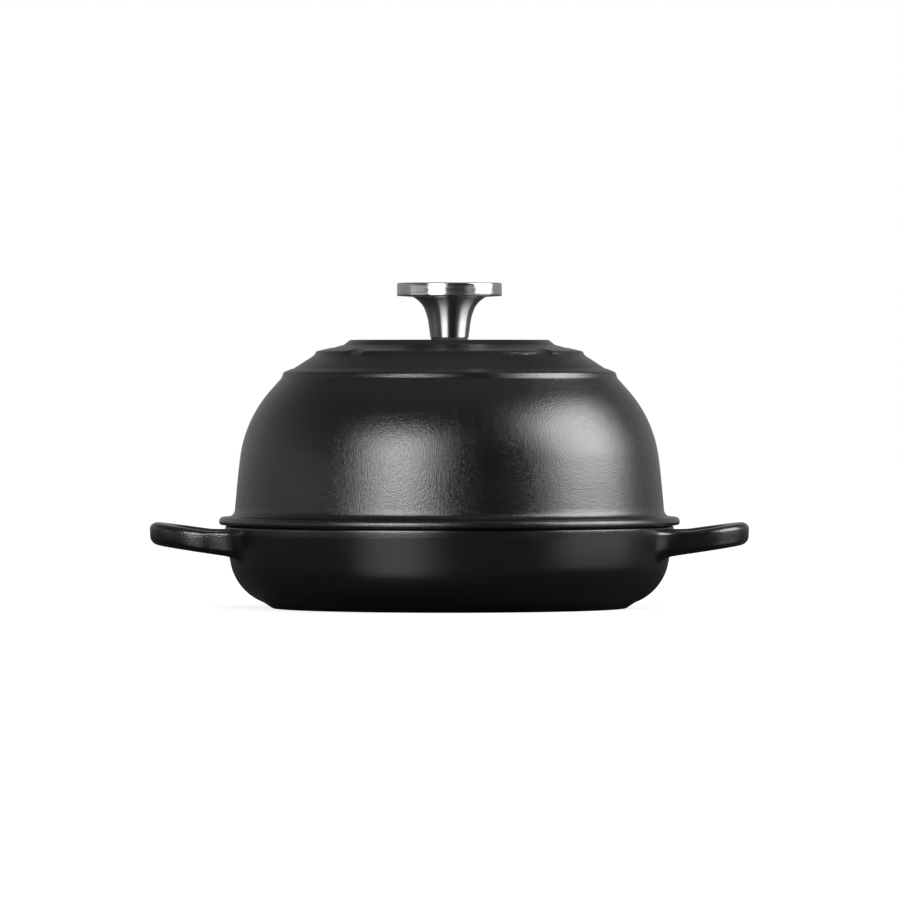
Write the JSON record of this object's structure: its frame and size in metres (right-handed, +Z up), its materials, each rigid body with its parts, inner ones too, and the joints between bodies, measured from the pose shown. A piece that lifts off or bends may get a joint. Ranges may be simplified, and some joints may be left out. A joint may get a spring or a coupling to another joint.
{
  "type": "bread cloche",
  "caption": "Domed cast-iron bread baker: a shallow pan with loop handles and a lift-off lid with a flared steel knob.",
  "frame": {"origin": "on the table, under the middle of the pan's foot", "axes": "+X from handle to handle, +Z up through the knob, -Y towards the front"},
  "size_m": [0.317, 0.2442, 0.1724],
  "materials": {
    "pan_enamel": "satin black enamel, fine grain",
    "lid_enamel": "satin black enamel, fine grain",
    "gasket": "matt",
    "stem_steel": "satin turned",
    "cap_steel": "brushed round the edge",
    "fixing_steel": "plain bright"
  },
  "bodies": {
    "base": {"base_pan": "pan_enamel"},
    "lid": {"dome_lid": "lid_enamel", "knob_gasket": "gasket", "knob_stem": "stem_steel", "knob_cap": "cap_steel", "knob_screw": "fixing_steel", "flat_washer": "fixing_steel", "spring_washer": "fixing_steel"}
  },
  "joints": [
    {"name": "lid_lift", "type": "slide", "parent": "base", "child": "lid", "axis": [0, 0, 1], "range_m": [0, 0.2]}
  ]
}
